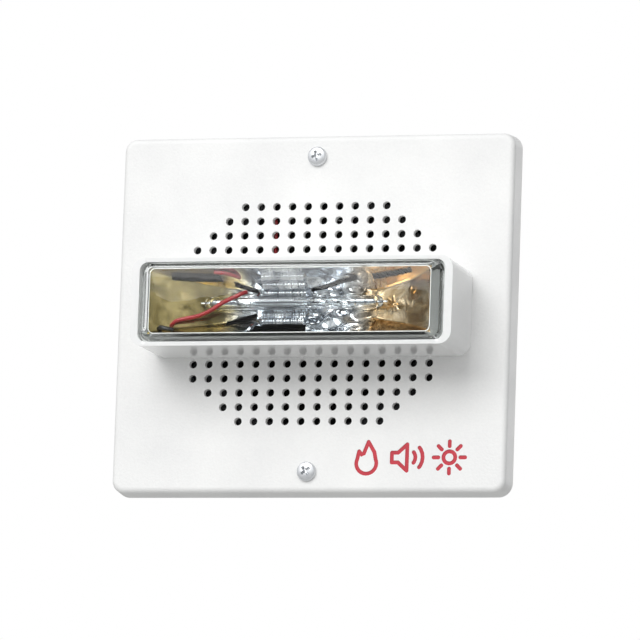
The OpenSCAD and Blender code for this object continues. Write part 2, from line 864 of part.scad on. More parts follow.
module lead_connector() {
    color("ivory") difference() {
        block([-23.2, board_back, 31.2], [-13.8, board_back + 7.4, 35.6]);
        for (start = [red_lead_route[0], black_lead_route[0]])
            translate([start[0], start[1], 0]) cylinder(r = wire_r + 0.15, h = 60);
    }
}

module strobe_lead_red() {
    color("red") lead(red_lead_route, wire_r);
}

module strobe_lead_black() {
    color("black") lead(black_lead_route, wire_r);
}

module sounder_lead_red() {
    color("red") lead(sounder_red_route, wire_r);
}

module sounder_lead_black() {
    color("black") lead(sounder_black_route, wire_r);
}

// ---- nodes ----

front_cover();
cover_symbols();
cover_screw_top();
cover_screw_bottom();
screw_retainers();
mounting_plate();
ground_screw();
strobe_housing();
strobe_screws();
strobe_lens();
lens_seal();
reflector();
flash_tube();
tube_electrodes();
tube_sockets();
trigger_band();
trigger_lead();
ground_lead();
lamp_board();
trigger_coil();
lamp_board_parts();
driver_gasket();
driver_basket();
driver_top_plate();
driver_magnet();
driver_pole_plate();
driver_cone();
driver_dust_cap();
voice_coil();
driver_surround();
driver_spider();
driver_tags();
circuit_board();
board_standoffs();
board_screws();
terminal_block();
terminal_bars();
terminal_screw(1);  // terminal_screw_1
terminal_screw(2);  // terminal_screw_2
terminal_screw(3);  // terminal_screw_3
terminal_screw(4);  // terminal_screw_4
terminal_clamp(1);  // terminal_clamp_1
terminal_clamp(2);  // terminal_clamp_2
terminal_clamp(3);  // terminal_clamp_3
terminal_clamp(4);  // terminal_clamp_4
transformer_core();
transformer_coil();
flash_capacitor();
power_choke();
board_parts();
candela_switch();
candela_slider();
level_switch();
level_knob();
lead_connector();
strobe_lead_red();
strobe_lead_black();
sounder_lead_red();
sounder_lead_black();
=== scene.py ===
import math
import random

import bpy
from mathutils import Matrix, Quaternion, Vector


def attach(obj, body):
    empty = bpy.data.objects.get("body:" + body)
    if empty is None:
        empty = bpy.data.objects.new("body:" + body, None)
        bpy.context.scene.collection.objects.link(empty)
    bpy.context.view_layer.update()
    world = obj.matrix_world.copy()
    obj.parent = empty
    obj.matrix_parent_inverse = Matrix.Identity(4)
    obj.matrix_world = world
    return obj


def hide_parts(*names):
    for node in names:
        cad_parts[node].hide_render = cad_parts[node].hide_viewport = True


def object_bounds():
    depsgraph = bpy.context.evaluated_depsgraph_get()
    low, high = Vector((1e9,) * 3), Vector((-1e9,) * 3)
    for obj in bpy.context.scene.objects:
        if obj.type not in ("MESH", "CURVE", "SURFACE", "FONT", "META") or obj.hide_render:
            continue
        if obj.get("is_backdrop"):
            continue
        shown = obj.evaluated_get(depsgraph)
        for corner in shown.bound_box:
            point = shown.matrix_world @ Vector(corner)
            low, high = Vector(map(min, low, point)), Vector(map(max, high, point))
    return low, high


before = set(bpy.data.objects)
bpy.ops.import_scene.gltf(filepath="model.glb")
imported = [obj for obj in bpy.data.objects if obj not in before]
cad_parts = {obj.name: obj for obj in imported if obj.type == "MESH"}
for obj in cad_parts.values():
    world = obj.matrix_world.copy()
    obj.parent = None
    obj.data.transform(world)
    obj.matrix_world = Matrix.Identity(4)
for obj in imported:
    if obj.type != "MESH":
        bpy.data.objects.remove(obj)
cad_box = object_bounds()
random.seed(7)

# ---- front cover ----
# One moulded cover with a rounded front edge and an eight-sided field of small holes.
# White paint with a fine dry grain covers it, so light spreads softly over its face.


def linear(code):
    """The linear colour of an sRGB hex code."""
    parts = [int(code[k : k + 2], 16) / 255 for k in (1, 3, 5)]
    return [c / 12.92 if c <= 0.04045 else ((c + 0.055) / 1.055) ** 2.4 for c in parts] + [1]


def add(tree, kind, settings={}, values={}, links={}):
    """Adds a shader node: its settings, its constant inputs and the outputs that feed it."""
    node = tree.nodes.new(kind)
    for name, value in settings.items():
        setattr(node, name, value)
    for name, value in values.items():
        node.inputs[name].default_value = value
    for name, (source, output) in links.items():
        tree.links.new(source.outputs[output], node.inputs[name])
    return node


def plain(name, colour, **values):
    """A material with one shader, its tree and that shader. The values are the shader's own inputs."""
    mat = bpy.data.materials.new(name)
    mat.use_nodes = True
    surface = mat.node_tree.nodes["Principled BSDF"]
    surface.inputs["Base Color"].default_value = linear(colour)
    for key, value in values.items():
        surface.inputs[key.replace("_", " ")].default_value = value
    return mat, mat.node_tree, surface


def grained(name, light, dark, grain, rough, depth=0.0, patch=10, **values):
    """A finish that drifts between two shades over patches, with a fine grain.

    Grain, patch and depth are in mm, and rough is the least and the greatest roughness.
    """
    mat, tree, surface = plain(name, light, **values)
    place = add(tree, "ShaderNodeTexCoord")
    drift = add(
        tree, "ShaderNodeTexNoise", {}, {"Scale": 1000 / patch, "Detail": 3}, {"Vector": (place, "Object")}
    )
    fine = add(
        tree, "ShaderNodeTexNoise", {}, {"Scale": 1000 / grain, "Detail": 4}, {"Vector": (place, "Object")}
    )
    blend = add(
        tree, "ShaderNodeMath", {"operation": "MULTIPLY_ADD"}, {1: 0.35}, {0: (fine, 0), 2: (drift, 0)}
    )
    spread = add(tree, "ShaderNodeMapRange", {}, {"From Min": 0.45, "From Max": 0.9}, {"Value": (blend, 0)})
    shade = add(
        tree,
        "ShaderNodeMix",
        {"data_type": "RGBA"},
        {6: linear(light), 7: linear(dark)},
        {0: (spread, 0)},
    )
    gloss = add(
        tree, "ShaderNodeMapRange", {}, {"To Min": rough[0], "To Max": rough[1]}, {"Value": (drift, 0)}
    )
    tree.links.new(shade.outputs[2], surface.inputs["Base Color"])
    tree.links.new(gloss.outputs[0], surface.inputs["Roughness"])
    if depth:
        relief = add(
            tree, "ShaderNodeBump", {}, {"Strength": 1.0, "Distance": depth / 1000}, {"Height": (fine, 0)}
        )
        tree.links.new(relief.outputs[0], surface.inputs["Normal"])
    return mat, tree, surface


def dress(nodes, mat, edge=0.0):
    """Gives CAD nodes their finish. Where edge is set, their sharp edges are broken by that many mm."""
    for name in nodes if isinstance(nodes, list) else [nodes]:
        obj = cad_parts[name]
        obj.data.materials.clear()
        obj.data.materials.append(mat)
        if edge:
            normals = obj.data.attributes.get("custom_normal")
            if normals:
                obj.data.attributes.remove(normals)
            obj.data.shade_smooth()
            weld = obj.modifiers.new("Weld", "WELD")
            weld.merge_threshold = 2e-6
            bevel = obj.modifiers.new("Bevel", "BEVEL")
            bevel.width = edge / 1000
            bevel.segments = 2
            bevel.limit_method = "ANGLE"
            bevel.angle_limit = math.radians(35)
            obj.modifiers.new("Normals", "WEIGHTED_NORMAL")


# Dry white paint: the grain breaks the light up, so the face reads matt and slightly pebbled
white_paint = grained(
    "Matt white paint", "#f5f5f3", "#ebebea", 0.8, (0.5, 0.62), 0.09, 30, Specular_IOR_Level=0.35
)[0]
dress("front_cover", white_paint)

# ---- cover symbols ----
# A flame, a sounder and a flash are sunk into the cover's lower right corner.
# Their floors are filled with red paint that stays a little lower than the face.
# Fill paint: a soft even sheen that keeps the red flat beside the white grain
red_fill = grained("Satin red fill paint", "#c8283a", "#b81f33", 0.4, (0.38, 0.5), 0.02, 5)[0]
dress("cover_symbols", red_fill)

# ---- cover screws ----
# Two plated pan-head screws hold the cover to the plate, one above and one below.
# Each head is cold formed with a cross recess and turns in place behind a nylon collar.


def shape(name, built, mat, body="root", stands_for=(), crease=38):
    """A new piece from (points in mm, faces), riding on a body and standing for CAD nodes."""
    points, faces = built
    inside_out = 0.0
    for f in faces:
        for k in range(1, len(f) - 1):
            a, b, c = (Vector(points[f[i]]) for i in (0, k, k + 1))
            inside_out += a.dot(b.cross(c))
    if inside_out < 0:
        faces = [f[::-1] for f in faces]
    mesh = bpy.data.meshes.new(name)
    mesh.from_pydata([[c / 1000 for c in p] for p in points], [], faces)
    mesh.validate()
    mesh.materials.append(mat)
    mesh.shade_smooth()
    mesh.set_sharp_from_angle(angle=math.radians(crease))
    obj = bpy.data.objects.new(name, mesh)
    bpy.context.scene.collection.objects.link(obj)
    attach(obj, body)
    if stands_for:
        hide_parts(*stands_for)
    return obj


def joined(*parts):
    """Several shapes as one."""
    points, faces = [], []
    for p, f in parts:
        faces += [[i + len(points) for i in face] for face in f]
        points += p
    return points, faces


def skin(rings, closed=False, caps=(True, True)):
    """Faces over rings of equal length, each joined to the next, with flat ends."""
    n = len(rings[0])
    points = [p for ring in rings for p in ring]
    last = len(rings) if closed else len(rings) - 1
    faces = []
    for i in range(last):
        j = (i + 1) % len(rings)
        for k in range(n):
            m = (k + 1) % n
            faces.append([i * n + k, i * n + m, j * n + m, j * n + k])
    if not closed and caps[0]:
        faces.append(list(range(n))[::-1])
    if not closed and caps[1]:
        faces.append([(len(rings) - 1) * n + k for k in range(n)])
    return points, faces


def turned(profile, centre=(0, 0, 0), axis="y", n=96, closed=False):
    """A lathe shape. The profile is (radius, place along the axis) in mm."""
    rings = []
    for r, along in profile:
        ring = []
        for k in range(n):
            a = 2 * math.pi * k / n
            u, v = max(r, 1e-4) * math.cos(a), max(r, 1e-4) * math.sin(a)
            p = {"x": (along, u, v), "y": (v, along, u), "z": (u, v, along)}[axis]
            ring.append([p[0] + centre[0], p[1] + centre[1], p[2] + centre[2]])
        rings.append(ring)
    return skin(rings, closed)


def cross_depth(x, z, size):
    """How deep a cross recess is at a point, from 0 outside it to 1 at its floor."""
    best = -1.0
    for u, v in ((x, z), (z, x)):
        best = max(best, min(size * 0.27 - abs(u), size * 0.07 - abs(v)))
    best = max(best, size * 0.12 - math.hypot(x, z))
    return max(0.0, min(1.0, best / (size * 0.05)))


def slot_depth(x, z, size):
    """The same for one straight slot across the whole head."""
    return max(0.0, min(1.0, (size * 0.09 - abs(z)) / (size * 0.04)))


def screw(x, z, y_seat, way, r, height, turn, recess, shank_r, shank_end):
    """A pan-head screw. Way is -1 where its head faces the front and 1 where it faces the back.

    The head is a stack of rings from its middle to its rim, pushed in where the recess is.
    """
    rings = []
    steps = 46
    for k in range(steps + 1):
        t = (k / steps) ** 0.8
        rim = max(0.0, (t - 0.86) / 0.14)
        crown = height * (1 - 0.34 * t**2.6) - height * 0.3 * rim**2
        ring = []
        for m in range(144):
            a = 2 * math.pi * m / 144
            u, v = r * t * math.cos(a), r * t * math.sin(a)
            c, s = math.cos(turn), math.sin(turn)
            sunk = recess(u * c + v * s, v * c - u * s, 2 * r) * height * 0.62
            ring.append([x + u, y_seat + way * (crown - sunk), z + v])
        rings.append(ring)
    side = [[[p[0], y_seat + way * h * height, p[2]] for p in rings[-1]] for h in (0.3, 0.06, 0.0)]
    thin = shank_r / r
    neck = [
        [[x + (p[0] - x) * q, y, z + (p[2] - z) * q] for p in rings[-1]]
        for q, y in ((thin, y_seat), (thin, shank_end + way * 0.3), (thin * 0.7, shank_end))
    ]
    if recess is slot_depth:
        side = side[1:]
    return skin(rings + side + neck)


# Bright zinc: a cool grey metal with soft polish marks that lifts the screw off the white paint
zinc = grained("Bright zinc plate", "#e9eaeb", "#d3d6d9", 0.25, (0.42, 0.58), 0.006, 1.5, Metallic=1.0)[0]
for name, z, turn in (("cover_screw_top", 55.5, 15), ("cover_screw_bottom", -55.5, 38)):
    head = screw(0, z, -9, -1, 3.4, 2.05, math.radians(turn), cross_depth, 1.7, -0.8)
    shape(name.replace("cover_", "pan_"), head, zinc, name, [name], 30)

# Nylon: a little light enters it, so the collars look waxy
nylon = grained("Natural nylon", "#e8e2d0", "#dcd4be", 0.8, (0.35, 0.5), 0.01, 3, Subsurface_Weight=0.1)[0]
dress("screw_retainers", nylon, 0.15)

# ---- mounting plate ----
# A stamped steel plate screws to the electrical box. Its two bent tabs take the cover screws.
# Hot-dip zinc gives it pale grey crystals, and a green screw takes the earth wire.
# Galvanised steel: each crystal has its own roughness, so the plate breaks into pale patches
spangle, tree, surface = grained(
    "Hot-dip galvanised steel", "#b9bfc4", "#9aa2a8", 0.5, (0.3, 0.45), 0.01, 12, Metallic=1.0
)
place = add(tree, "ShaderNodeTexCoord")
crystals = add(tree, "ShaderNodeTexVoronoi", {}, {"Scale": 160.0}, {"Vector": (place, "Object")})
tone = add(
    tree, "ShaderNodeMapRange", {}, {"To Min": 0.28, "To Max": 0.55}, {"Value": (crystals, "Color")}
)
tree.links.new(tone.outputs[0], surface.inputs["Roughness"])
dress("mounting_plate", spangle, 0.12)
# Dyed zinc: a green metal that marks the earth screw
green_zinc = grained("Green dyed zinc", "#2f8a4d", "#256f3e", 0.3, (0.25, 0.4), 0.006, 2, Metallic=1.0)[0]
dress("ground_screw", green_zinc, 0.2)

# ---- strobe housing ----
# A glossy white moulding stands off the cover and holds the lens in its mouth.
# Two short screws from behind the cover hold it down.
# Gloss moulding: a clean coat gives it crisp edges and highlights against the matt cover
gloss_white = grained(
    "Gloss white polycarbonate",
    "#f3f3f2",
    "#ecedec",
    1.2,
    (0.1, 0.16),
    0.004,
    25,
    Coat_Weight=0.5,
    Coat_Roughness=0.05,
)[0]
dress("strobe_housing", gloss_white, 0.45)
dress("strobe_screws", zinc, 0.12)

# ---- lens ----
# A clear drafted cap is moulded in one piece, with rounded front edges and a flange.
# It stands proud of the housing's mouth and sits on a pale silicone ring.


def loop(w, h, r, y, cx=0.0, cz=0.0, n=8):
    """A rounded rectangle across the Y axis, as a ring of points."""
    ring = []
    for k, (sx, sz) in enumerate(((1, 1), (-1, 1), (-1, -1), (1, -1))):
        for m in range(n + 1):
            a = math.pi / 2 * (k + m / n)
            ring.append(
                [cx + sx * (w / 2 - r) + r * math.cos(a), y, cz + sz * (h / 2 - r) + r * math.sin(a)]
            )
    return ring


def clear(name, colour, rough, ior, wave, wave_size):
    """A clear material that lets lamps through, with the faint waviness of a moulded or drawn wall."""
    mat, tree, surface = plain(name, colour, Roughness=rough, IOR=ior, Transmission_Weight=1.0)
    place = add(tree, "ShaderNodeTexCoord")
    scale = 1000 / wave_size
    flow = add(
        tree, "ShaderNodeTexNoise", {}, {"Scale": scale, "Detail": 2}, {"Vector": (place, "Object")}
    )
    relief = add(
        tree, "ShaderNodeBump", {}, {"Strength": 1.0, "Distance": wave / 1000}, {"Height": (flow, 0)}
    )
    tree.links.new(relief.outputs[0], surface.inputs["Normal"])
    path = add(tree, "ShaderNodeLightPath")
    through = add(tree, "ShaderNodeBsdfTransparent", {}, {"Color": [0.93, 0.94, 0.94, 1]})
    mix = add(
        tree,
        "ShaderNodeMixShader",
        {},
        {},
        {0: (path, "Is Shadow Ray"), 1: (surface, 0), 2: (through, 0)},
    )
    tree.links.new(mix.outputs[0], tree.nodes["Material Output"].inputs["Surface"])
    return mat


# Clear plastic: its index is set below the solid's 1.58. That keeps glare off the front face
# and the reflector sharp behind it, while the thick edges still draw bright and dark lines.
clear_plastic = clear("Clear polycarbonate", "#fbfdfc", 0.015, 1.25, 0.02, 9)
front_y, rim_y, seat_y = -41, -37, -31.5
outer = [loop(108.8, 27.7, 3, seat_y), loop(108.8, 27.7, 3, seat_y - 1.5)]
outer += [loop(107.4, 27.5, 3.5, seat_y - 1.5), loop(107.4, 27.5, 3.5, rim_y)]
edge_round = 1.1
for k in range(9):
    a = math.pi / 2 * k / 8
    inset = 2 * edge_round * (1 - math.cos(a))
    y = front_y + edge_round * (1 - math.sin(a))
    spread = (y - front_y) / 4
    outer.append(loop(104 + 3.4 * spread - inset, 25.4 + 2.1 * spread - inset, 3.2 - inset / 2, y))
inner = []
for y, w, h in ((-39.2, 100.2, 22.0), (-39.05, 101.2, 23.0), (-38.6, 102.0, 23.8), (-37, 105.0, 25.1)):
    inner.append(loop(w, h, 2.4, y))
inner.append(loop(105.0, 25.1, 2.6, seat_y))
lens = skin(outer, caps=(False, True))
hollow = skin(inner, caps=(True, False))
count, base = len(outer[0]), len(lens[0])
last = base + (len(inner) - 1) * count
seat_faces = [[last + k, last + (k + 1) % count, (k + 1) % count, k] for k in range(count)]
lens_faces = lens[1] + [[i + base for i in f] for f in hollow[1]] + seat_faces
cap = (lens[0] + hollow[0], lens_faces)
shape("lens_cap", cap, clear_plastic, "root", ["strobe_lens"], 30)

# Silicone: a dull pale line between the clear flange and the gloss rim
silicone = grained("Pale silicone seal", "#dfe1df", "#d0d3d1", 0.5, (0.4, 0.55), 0.01, 3)[0]
dress("lens_seal", silicone, 0.12)

# ---- reflector ----
# A vacuum-metallised moulding: a trough behind the tube, a stepped block at its middle
# and a flared scoop at each end. The middle is silver, and the scoops carry a painted warm reflection of a
# room.
half_w, half_h = 50.3, 11.4
deepest_y, slot_y = -21.6, -23.2


def reflector_depth(x, z):
    """Depth in mm of the reflector's face at a place.

    Each end is a scoop with curved walls above and below. Towards the middle it runs into the
    trough behind the tube, then the stepped block or the dented plain on its right.
    """
    mouth, side = -38.5, abs(x)
    low = 16.5 if x < 0 else 28.0
    reach = max(0.0, min(1.0, (half_w - side) / (half_w - low)))
    scoop = mouth + 12.4 * math.sin(reach * math.pi / 2) ** 0.9
    flat = 10.7 - 6.0 * reach**0.75
    flank = min(1.0, max(0.0, (abs(z) - flat) / (half_h - flat + 1e-6)))
    scoop_wall = scoop + (mouth - scoop) * flank**1.5
    trough = -25.4 - z * z / 21.0 - max(0.0, abs(z) - 9.6) * 3.0
    if side >= low:
        return scoop_wall
    t = max(0.0, min(1.0, (low - side) / 5.0))
    t = t * t * (3 - 2 * t)
    y = scoop_wall * (1 - t) + max(mouth, trough) * t
    if -12.0 < x < 3.6:
        step = round((abs(z) - 1.2) / 2.6)
        y = max(mouth, -26.2 - max(0, step) * 2.15 - 0.5 * abs(math.sin(z * math.pi / 2.6)))
        y -= 0.28 * abs(math.sin((x + 12.0) * math.pi / 1.3))
        return y
    if 3.6 <= x < low:
        y += 0.8 * math.sin(x * 0.5 + z * 0.42) + 0.4 * math.sin(z * 0.9 - x * 0.25)
        return min(-22, y)
    return y


def in_slot(x, z):
    """True where a slot is drawn: its floor is only set back, and its black is painted shade."""
    upper_left = -43.5 < x < -26.5 and 8.0 < z < 10.2
    upper_right = 28.0 < x < 42.5 and 8.2 + (x - 28) * 0.12 < z < 9.6 + (x - 28) * 0.1
    lower_middle = -14.6 < x < 3.8 and -10.8 < z < -7.6
    lower_left = -25.5 < x < -15 and -7.2 + (x + 25.5) * 0.22 < z < -5.9 + (x + 25.5) * 0.3
    # The upper middle band is no slot: its black is a painted dark reflection in the metal
    upper_middle = 5.0 < x < 21.5 and 4.6 + (x - 5) * 0.24 < z < 5.7 + (x - 5) * 0.26
    inner_left = -22.5 < x < -14.5 and 6.6 - (x + 22.5) * 0.3 < z < 7.9 - (x + 22.5) * 0.3
    return upper_left or upper_right or lower_middle or lower_left or upper_middle or inner_left


columns = [-half_w + 2 * half_w * k / 500 for k in range(501)]
rows = [-half_h + 2 * half_h * k / 132 for k in range(133)]
points, faces, slot_faces = [], [], []
for x in columns:
    for z in rows:
        y = reflector_depth(x, z)
        # A star of eight embossed ribs, and a small raised ring beyond it
        from_star = math.hypot(x - 34.2, z + 0.3)
        if from_star < 3.6:
            angle = math.atan2(z + 0.3, x - 34.2)
            off_rib = angle - math.pi / 4 * round(angle / (math.pi / 4))
            across_rib = abs(from_star * math.sin(off_rib)) / 0.36
            y -= 0.7 * max(0.0, 1 - across_rib) * (1 - from_star / 3.8)
        if abs(math.hypot(x - 42, z - 4.3) - 1.1) < 0.35:
            y -= 0.3
        if in_slot(x, z):
            y = max(y, slot_y)
        points.append([x, min(deepest_y, y), z])
m = len(rows)
for i in range(len(columns) - 1):
    for k in range(m - 1):
        x, z = (columns[i] + columns[i + 1]) / 2, (rows[k] + rows[k + 1]) / 2
        # Faces in a slot take the black painted shade below
        if in_slot(x, z):
            slot_faces.append(len(faces))
        faces.append([i * m + k, i * m + k + 1, (i + 1) * m + k + 1, (i + 1) * m + k])
# Metallised face: clouded silver in the middle, and at the left end and the right a painted
# reflection of a room that tints it olive and brown. Fine ripples in the moulding bend what it mirrors into
# broken streaks.
chrome, tree, surface = plain("Vacuum-metallised reflector", "#d9dade", Metallic=1.0)
place = add(tree, "ShaderNodeTexCoord")
axes = add(tree, "ShaderNodeSeparateXYZ", {}, {}, {0: (place, "Object")})
away = add(tree, "ShaderNodeMath", {"operation": "ABSOLUTE"}, {}, {0: (axes, "X")})
# Painted reflection: away from the middle the colour turns to the olive and brown of a mirrored room
warm = add(
    tree,
    "ShaderNodeMapRange",
    {"interpolation_type": "SMOOTHSTEP"},
    {"From Min": 0.016, "From Max": 0.029},
    {"Value": (away, 0)},
)
cloud = add(
    tree,
    "ShaderNodeTexNoise",
    {},
    {"Scale": 170.0, "Detail": 6, "Distortion": 0.8},
    {"Vector": (place, "Object")},
)
contrast = add(tree, "ShaderNodeMapRange", {}, {"From Min": 0.35, "From Max": 0.65}, {"Value": (cloud, 0)})
olive = add(
    tree,
    "ShaderNodeMix",
    {"data_type": "RGBA"},
    {6: linear("#bfae7c"), 7: linear("#7d6f42")},
    {0: (contrast, 0)},
)
brown = add(
    tree,
    "ShaderNodeMix",
    {"data_type": "RGBA"},
    {6: linear("#efdab8"), 7: linear("#bd9f74")},
    {0: (contrast, 0)},
)
right = add(tree, "ShaderNodeMath", {"operation": "GREATER_THAN"}, {1: 0.0}, {0: (axes, "X")})
tan = add(
    tree, "ShaderNodeMix", {"data_type": "RGBA"}, {}, {0: (right, 0), 6: (olive, 2), 7: (brown, 2)}
)
silver = add(
    tree,
    "ShaderNodeMix",
    {"data_type": "RGBA"},
    {6: linear("#f4f6f9"), 7: linear("#a0a6ae")},
    {0: (contrast, 0)},
)
colour = add(
    tree, "ShaderNodeMix", {"data_type": "RGBA"}, {}, {0: (warm, 0), 6: (silver, 2), 7: (tan, 2)}
)
haze = add(tree, "ShaderNodeMapRange", {}, {"To Min": 0.05, "To Max": 0.15}, {"Value": (warm, 0)})
ripple = add(
    tree, "ShaderNodeBump", {}, {"Strength": 0.6, "Distance": 0.0003}, {"Height": (cloud, 0)}
)
tree.links.new(colour.outputs[2], surface.inputs["Base Color"])
tree.links.new(haze.outputs[0], surface.inputs["Roughness"])
tree.links.new(ripple.outputs[0], surface.inputs["Normal"])
mirror = shape("reflector_face", (points, faces), chrome, "root", ["reflector"], 50)
# Slots: black painted shade on their set-back floors, as gaps that cut up the bright metal
painted_slot_shade = grained("Black slot painted as shade", "#101011", "#1b1a1a", 0.5, (0.5, 0.7), 0.01, 3)[0]
mirror.data.materials.append(painted_slot_shade)
for f in slot_faces:
    mirror.data.polygons[f].material_index = 1
back_shell = [loop(100.6, 22.8, 1.8, y) for y in (-38.6, -22, -21)] + [loop(98, 20, 1.2, -21)]
shell = skin([loop(100.2, 22.4, 1.8, -38.6)] + back_shell, caps=(False, True))
posts = [turned([(2.5, -21), (2.5, -15.7), (2.2, -15.6)], (s * 30, 0, 0), n=40) for s in (-1, 1)]
# Unplated back: plain white plastic, which hides behind the metal face
bare_back = grained("Bare white moulding", "#f0f0ee", "#e4e4e2", 0.8, (0.4, 0.55), 0.01, 8)[0]
shape("reflector_body", joined(shell, *posts), bare_back, "root", [], 40)

# ---- flash tube ----
# A sealed glass tube lies along the trough with an electrode in each end.
# Its soft sockets hold it clear of the metal, and a fine bare wire is wound round it.
tube_y = -32
half, r, bore = 32.0, 2.25, 1.5
outside, inside = [], []
for k in range(13):
    a = math.pi / 2 * k / 12
    outside.append((r * math.sin(a), -half + r * (1 - math.cos(a))))
    inside.append((bore * math.sin(a), -half + 2 + bore * 0.8 * (1 - math.cos(a))))
outside += [(q, -a) for q, a in outside[::-1]]
inside += [(q, -a) for q, a in inside[::-1]]
# Quartz: clear as water, so only its outline and its bright ends show
drawn_glass = clear("Drawn quartz glass", "#fafcfd", 0.01, 1.46, 0.01, 4)
bulb = turned(outside, (0, tube_y, 0), "x", 64)
core = turned(inside[::-1], (0, tube_y, 0), "x", 64)
shape("flash_tube_glass", joined(bulb, core), drawn_glass, "root", ["flash_tube"], 60)

# Nickel: small sharp glints at both ends of the tube
bright_metal = grained(
    "Bright nickel", "#dcdee2", "#aeb2b8", 0.4, (0.08, 0.22), 0.02, 1.2, Metallic=1.0
)[0]
ends = []
for s in (-1, 1):
    profile = [(0, 19.6), (0.7, 19.7), (1.15, 20.2), (1.3, 21), (1.3, 22), (1.05, 22.3)]
    profile += [(1.3, 22.7), (1.3, 25.4), (1.02, 25.8), (1.3, 26.2), (1.3, 28.6), (1.0, 29.3)]
    profile += [(0.4, 29.5), (0.4, 33.3), (0.0, 33.6)]
    ends.append(turned([(q, s * a) for q, a in profile], (0, tube_y, 0), "x", 48))
shape("electrodes", joined(*ends), bright_metal, "root", ["tube_electrodes"], 30)

# Soft silicone: dull white, without any highlight
soft_white = grained("Soft white silicone", "#eceae4", "#dedbd2", 0.6, (0.45, 0.6), 0.015, 2)[0]
dress("tube_sockets", soft_white)


def sweep(route, r, sides=14):
    """A round wire along a dense route, in mm, with domed ends."""
    pts = [Vector(p) for p in route]
    side = None
    rings = []
    for i, p in enumerate(pts):
        t = (pts[min(i + 1, len(pts) - 1)] - pts[max(i - 1, 0)]).normalized()
        if side is None:
            side = t.orthogonal().normalized()
        side = (side - t * side.dot(t)).normalized()
        other = t.cross(side)
        spots = [(1.0, 0.0)]
        if i == 0:
            spots = [(0.55, 0.0), (0.9, 0.12), (1.0, 0.35)]
        if i == len(pts) - 1:
            spots = [(1.0, -0.35), (0.9, -0.12), (0.55, 0.0)]
        for wide, along in spots:
            ring = []
            for k in range(sides):
                a = 2 * math.pi * k / sides
                out = math.cos(a) * side + math.sin(a) * other
                ring.append(list(p + t * r * along + out * r * wide))
            rings.append(ring)
    return skin(rings)


helix = []
for k in range(24 * 27):
    turn_count = k / 24
    x = -16.6 + (turn_count * 2.2 if turn_count < 1 else 2.2 + (turn_count - 1) * 0.62)
    x = min(x, 1.6) if turn_count < 25 else 1.6 + (turn_count - 25) * 6
    a = 2 * math.pi * turn_count
    helix.append([x, tube_y + 2.42 * math.sin(a), 2.42 * math.cos(a)])
shape("trigger_winding", sweep(helix, 0.13, 6), bright_metal, "root", ["trigger_band"], 60)

# ---- strobe leads at the tube ----
# The red trigger lead crosses the left scoop to the tube, and a short black lead is
# tucked under the lens's lower left corner. Both are PVC covered and bent by hand.


def curve(route, steps=8):
    """A smooth line through the points of a route."""
    out = []
    for i in range(len(route) - 1):
        a, b = route[max(i - 1, 0)], route[i]
        c, d = route[i + 1], route[min(i + 2, len(route) - 1)]
        for s in range(steps):
            t = s / steps
            out.append(
                [
                    0.5
                    * (
                        2 * b[k]
                        + (c[k] - a[k]) * t
                        + (2 * a[k] - 5 * b[k] + 4 * c[k] - d[k]) * t * t
                        + (3 * b[k] - a[k] - 3 * c[k] + d[k]) * t**3
                    )
                    for k in range(3)
                ]
            )
    return out + [list(route[-1])]


# Soft vinyl: a satin skin with one long highlight that follows each bend
red_pvc = grained(
    "Red PVC insulation", "#a80f1a", "#7c0a12", 0.8, (0.25, 0.38), 0.01, 6, Coat_Weight=0.2
)[0]
black_pvc = grained("Black PVC insulation", "#161617", "#222223", 0.8, (0.28, 0.42), 0.01, 6)[0]
trigger_route = [
    (-43.5, -25.5, -8.1), (-43.5, -31.4, -8.1), (-43, -34.4, -7.9), (-41, -35.6, -6.6),
    (-37.5, -35.6, -5.8), (-33.5, -35.6, -5), (-29, -35.6, -3.2), (-24.6, -35.6, -0.4),
    (-20.4, -35.6, 1.5), (-17.8, -35.2, 2.8), (-16.6, -33.6, 3.6),
]
ground_route = [
    (-46.8, -27.5, -8.9), (-46.8, -33, -8.9), (-46.8, -35.6, -8.9), (-46.1, -37.2, -9),
    (-44, -37.5, -9.5), (-41.6, -36.6, -10),
]
upper_route = [
    (-27.6, -36.7, 10.1), (-25.5, -36.6, 10), (-23, -36, 9.7), (-20.8, -34.6, 9.2),
    (-19.8, -32, 9),
]
red_runs = joined(sweep(curve(trigger_route), 0.74), sweep(curve(upper_route), 0.7))
shape("trigger_wire", red_runs, red_pvc, "root", ["trigger_lead"], 60)
black_run = sweep(curve(ground_route), 0.74)
shape("ground_wire", black_run, black_pvc, "root", ["ground_lead"], 60)

# ---- lamp board ----
# A narrow circuit board sits on posts behind the reflector with the trigger coil,
# two capacitors and a power part. Only its edges can be seen once the strobe is closed.


def board_finish(name, light, dark):
    """Solder mask over copper: the tracks show as a slightly paler and raised pattern."""
    mat, tree, surface = grained(name, light, dark, 0.6, (0.24, 0.36), 0.0, 14, Coat_Weight=0.3)
    place = add(tree, "ShaderNodeTexCoord")
    cells = add(
        tree,
        "ShaderNodeTexVoronoi",
        {"distance": "MANHATTAN", "feature": "F2"},
        {"Scale": 120.0, "Randomness": 0.9},
        {"Vector": (place, "Object")},
    )
    bands = add(tree, "ShaderNodeMath", {"operation": "PINGPONG"}, {1: 0.16}, {0: (cells, "Distance")})
    lines = add(
        tree, "ShaderNodeMapRange", {}, {"From Min": 0.1, "From Max": 0.12}, {"Value": (bands, 0)}
    )
    relief = add(
        tree, "ShaderNodeBump", {}, {"Strength": 1.0, "Distance": 0.00006}, {"Height": (lines, 0)}
    )
    before = surface.inputs["Base Color"].links[0].from_node
    tint = add(
        tree,
        "ShaderNodeMix",
        {"data_type": "RGBA", "blend_type": "ADD"},
        {7: linear("#24502f")},
        {0: (lines, 0), 6: (before, 2)},
    )
    tree.links.new(tint.outputs[2], surface.inputs["Base Color"])
    tree.links.new(relief.outputs[0], surface.inputs["Normal"])
    return mat


# Solder mask: deep green gloss with paler raised tracks under it
mask_green = board_finish("Green solder mask", "#14502c", "#0f4225")
dress("lamp_board", mask_green, 0.1)
